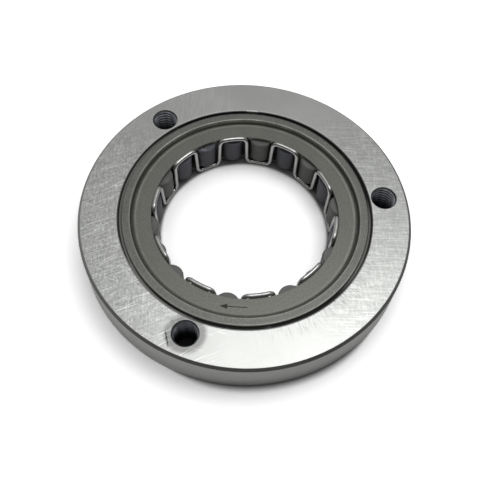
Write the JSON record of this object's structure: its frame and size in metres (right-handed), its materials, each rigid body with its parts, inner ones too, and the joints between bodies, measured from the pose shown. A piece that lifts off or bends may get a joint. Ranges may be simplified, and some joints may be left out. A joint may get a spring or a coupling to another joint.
{
  "type": "one-way roller clutch",
  "caption": "Flat ring-shaped one-way clutch of an engine starter: bolt-on steel ring, dark cam race, side plates, and rollers held by a zigzag wire spring.",
  "frame": {"origin": "centre of the bottom face, on the clutch's axis", "axes": "+Z along the axis towards the face with the arrow; +X and +Y radial, one tapped hole 10.3 degrees from +X towards +Y"},
  "size_m": [0.1, 0.1, 0.013],
  "materials": {
    "ground_steel": "ground and lightly scratched steel",
    "dark_race": "phosphated, dark grey",
    "dark_plate": "phosphated, dark olive grey",
    "black_ring": "blackened spring steel",
    "spring_wire": "bright drawn spring wire",
    "roller_steel": "ground hardened steel with an oil film"
  },
  "bodies": {
    "housing": {"outer_ring": "ground_steel", "cam_race": "dark_race", "cover_plate_top": "dark_plate", "cover_plate_bottom": "dark_plate", "snap_ring": "black_ring"},
    "spring_cage": {"meander_spring": "spring_wire"},
    "roller_01": {"roller_01": "roller_steel"},
    "roller_02": {"roller_02": "roller_steel"},
    "roller_03": {"roller_03": "roller_steel"},
    "roller_04": {"roller_04": "roller_steel"},
    "roller_05": {"roller_05": "roller_steel"},
    "roller_06": {"roller_06": "roller_steel"},
    "roller_07": {"roller_07": "roller_steel"},
    "roller_08": {"roller_08": "roller_steel"},
    "roller_09": {"roller_09": "roller_steel"},
    "roller_10": {"roller_10": "roller_steel"},
    "roller_11": {"roller_11": "roller_steel"},
    "roller_12": {"roller_12": "roller_steel"},
    "roller_13": {"roller_13": "roller_steel"},
    "roller_14": {"roller_14": "roller_steel"},
    "roller_15": {"roller_15": "roller_steel"},
    "roller_16": {"roller_16": "roller_steel"},
    "roller_17": {"roller_17": "roller_steel"},
    "roller_18": {"roller_18": "roller_steel"},
    "roller_19": {"roller_19": "roller_steel"},
    "roller_20": {"roller_20": "roller_steel"}
  },
  "joints": [
    {"name": "spring_shift", "type": "hinge", "parent": "housing", "child": "spring_cage", "pos_m": [0, 0, 0.0065], "axis": [0, 0, 1], "range_deg": [0, 1.2], "stiffness_Nm_per_rad": 5},
    {"name": "roller_01_spin", "type": "hinge", "parent": "spring_cage", "child": "roller_01", "pos_m": [0.0293, 0.0057, 0.0065], "axis": [0, 0, 1], "continuous": true},
    {"name": "roller_02_spin", "type": "hinge", "parent": "spring_cage", "child": "roller_02", "pos_m": [0.02611, 0.01447, 0.0065], "axis": [0, 0, 1], "continuous": true},
    {"name": "roller_03_spin", "type": "hinge", "parent": "spring_cage", "child": "roller_03", "pos_m": [0.02036, 0.02183, 0.0065], "axis": [0, 0, 1], "continuous": true},
    {"name": "roller_04_spin", "type": "hinge", "parent": "spring_cage", "child": "roller_04", "pos_m": [0.01262, 0.02705, 0.0065], "axis": [0, 0, 1], "continuous": true},
    {"name": "roller_05_spin", "type": "hinge", "parent": "spring_cage", "child": "roller_05", "pos_m": [0.00364, 0.02963, 0.0065], "axis": [0, 0, 1], "continuous": true},
    {"name": "roller_06_spin", "type": "hinge", "parent": "spring_cage", "child": "roller_06", "pos_m": [-0.0057, 0.0293, 0.0065], "axis": [0, 0, 1], "continuous": true},
    {"name": "roller_07_spin", "type": "hinge", "parent": "spring_cage", "child": "roller_07", "pos_m": [-0.01447, 0.02611, 0.0065], "axis": [0, 0, 1], "continuous": true},
    {"name": "roller_08_spin", "type": "hinge", "parent": "spring_cage", "child": "roller_08", "pos_m": [-0.02183, 0.02036, 0.0065], "axis": [0, 0, 1], "continuous": true},
    {"name": "roller_09_spin", "type": "hinge", "parent": "spring_cage", "child": "roller_09", "pos_m": [-0.02705, 0.01262, 0.0065], "axis": [0, 0, 1], "continuous": true},
    {"name": "roller_10_spin", "type": "hinge", "parent": "spring_cage", "child": "roller_10", "pos_m": [-0.02963, 0.00364, 0.0065], "axis": [0, 0, 1], "continuous": true},
    {"name": "roller_11_spin", "type": "hinge", "parent": "spring_cage", "child": "roller_11", "pos_m": [-0.0293, -0.0057, 0.0065], "axis": [0, 0, 1], "continuous": true},
    {"name": "roller_12_spin", "type": "hinge", "parent": "spring_cage", "child": "roller_12", "pos_m": [-0.02611, -0.01447, 0.0065], "axis": [0, 0, 1], "continuous": true},
    {"name": "roller_13_spin", "type": "hinge", "parent": "spring_cage", "child": "roller_13", "pos_m": [-0.02036, -0.02183, 0.0065], "axis": [0, 0, 1], "continuous": true},
    {"name": "roller_14_spin", "type": "hinge", "parent": "spring_cage", "child": "roller_14", "pos_m": [-0.01262, -0.02705, 0.0065], "axis": [0, 0, 1], "continuous": true},
    {"name": "roller_15_spin", "type": "hinge", "parent": "spring_cage", "child": "roller_15", "pos_m": [-0.00364, -0.02963, 0.0065], "axis": [0, 0, 1], "continuous": true},
    {"name": "roller_16_spin", "type": "hinge", "parent": "spring_cage", "child": "roller_16", "pos_m": [0.0057, -0.0293, 0.0065], "axis": [0, 0, 1], "continuous": true},
    {"name": "roller_17_spin", "type": "hinge", "parent": "spring_cage", "child": "roller_17", "pos_m": [0.01447, -0.02611, 0.0065], "axis": [0, 0, 1], "continuous": true},
    {"name": "roller_18_spin", "type": "hinge", "parent": "spring_cage", "child": "roller_18", "pos_m": [0.02183, -0.02036, 0.0065], "axis": [0, 0, 1], "continuous": true},
    {"name": "roller_19_spin", "type": "hinge", "parent": "spring_cage", "child": "roller_19", "pos_m": [0.02705, -0.01262, 0.0065], "axis": [0, 0, 1], "continuous": true},
    {"name": "roller_20_spin", "type": "hinge", "parent": "spring_cage", "child": "roller_20", "pos_m": [0.02963, -0.00364, 0.0065], "axis": [0, 0, 1], "continuous": true}
  ]
}
